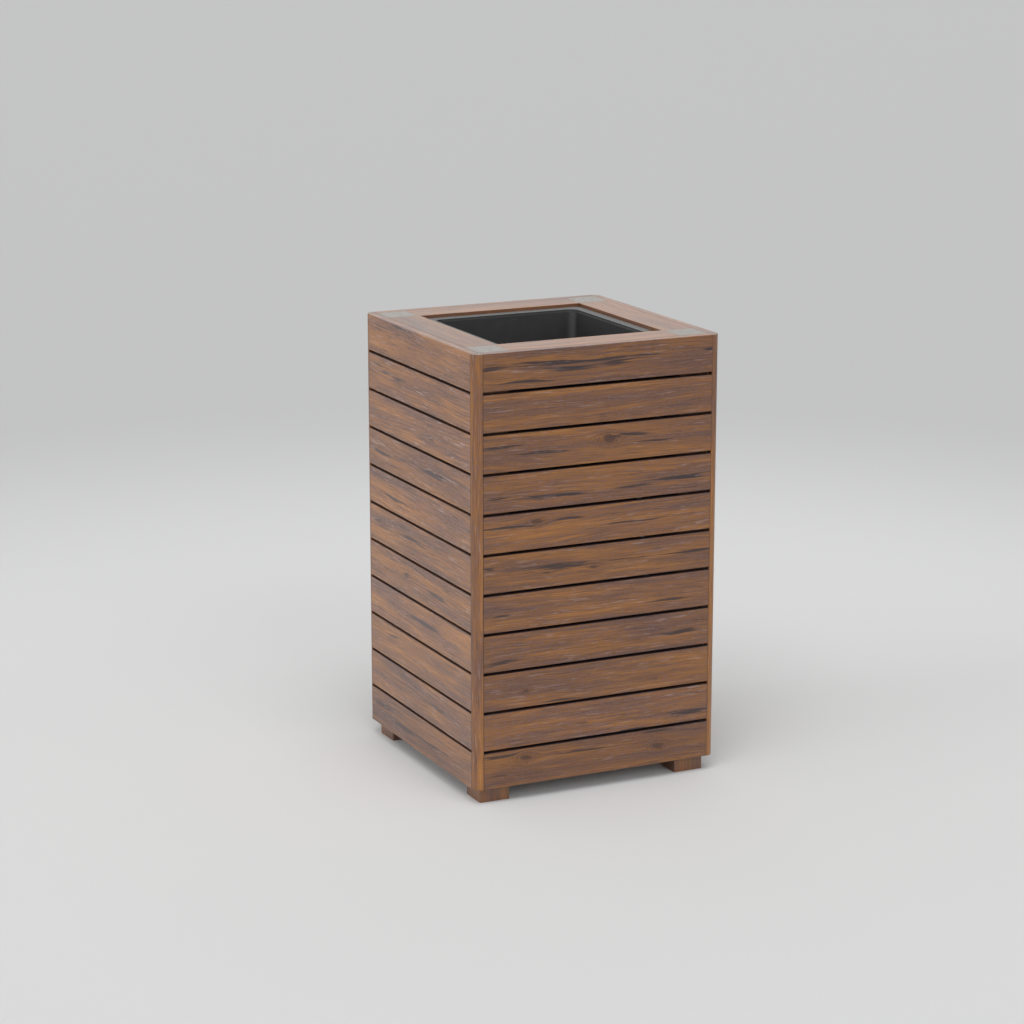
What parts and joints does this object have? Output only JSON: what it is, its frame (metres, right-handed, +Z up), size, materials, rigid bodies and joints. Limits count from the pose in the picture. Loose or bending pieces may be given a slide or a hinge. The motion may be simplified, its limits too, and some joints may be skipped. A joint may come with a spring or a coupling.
{
  "type": "litter bin",
  "caption": "Square slatted hardwood litter bin on short post feet, with an open top and a lift-out dark liner hung by its flange.",
  "frame": {"origin": "on the ground at the centre of the footprint, level with the underside of the feet", "axes": "+Z up, +Y towards the back, +X to the right seen from the front; all four sides are alike"},
  "size_m": [0.505, 0.505, 0.85],
  "materials": {
    "slat_wood": "oiled hardwood, lightly weathered",
    "bead_wood": "oiled hardwood, upright grain",
    "post_wood": "oiled hardwood with greyed end grain on top",
    "rail_wood": "hardwood, sun-bleached on top",
    "base_wood": "plain hardwood, unseen",
    "liner_plastic": "satin, fine moulded texture"
  },
  "bodies": {
    "housing": {"front_slat_01": "slat_wood", "front_slat_02": "slat_wood", "front_slat_03": "slat_wood", "front_slat_04": "slat_wood", "front_slat_05": "slat_wood", "front_slat_06": "slat_wood", "front_slat_07": "slat_wood", "front_slat_08": "slat_wood", "front_slat_09": "slat_wood", "front_slat_10": "slat_wood", "front_slat_11": "slat_wood", "right_slat_01": "slat_wood", "right_slat_02": "slat_wood", "right_slat_03": "slat_wood", "right_slat_04": "slat_wood", "right_slat_05": "slat_wood", "right_slat_06": "slat_wood", "right_slat_07": "slat_wood", "right_slat_08": "slat_wood", "right_slat_09": "slat_wood", "right_slat_10": "slat_wood", "right_slat_11": "slat_wood", "back_slat_01": "slat_wood", "back_slat_02": "slat_wood", "back_slat_03": "slat_wood", "back_slat_04": "slat_wood", "back_slat_05": "slat_wood", "back_slat_06": "slat_wood", "back_slat_07": "slat_wood", "back_slat_08": "slat_wood", "back_slat_09": "slat_wood", "back_slat_10": "slat_wood", "back_slat_11": "slat_wood", "left_slat_01": "slat_wood", "left_slat_02": "slat_wood", "left_slat_03": "slat_wood", "left_slat_04": "slat_wood", "left_slat_05": "slat_wood", "left_slat_06": "slat_wood", "left_slat_07": "slat_wood", "left_slat_08": "slat_wood", "left_slat_09": "slat_wood", "left_slat_10": "slat_wood", "left_slat_11": "slat_wood", "corner_bead_front_left": "bead_wood", "corner_bead_front_right": "bead_wood", "corner_bead_back_right": "bead_wood", "corner_bead_back_left": "bead_wood", "post_front_left": "post_wood", "post_front_right": "post_wood", "post_back_right": "post_wood", "post_back_left": "post_wood", "top_rail_front": "rail_wood", "top_rail_right": "rail_wood", "top_rail_back": "rail_wood", "top_rail_left": "rail_wood", "base_bearer_left": "base_wood", "base_bearer_right": "base_wood", "base_panel": "base_wood"},
    "liner": {"liner": "liner_plastic"}
  },
  "joints": [
    {"name": "liner_lift", "type": "slide", "parent": "housing", "child": "liner", "axis": [0, 0, 1], "range_m": [0, 0.8]}
  ]
}
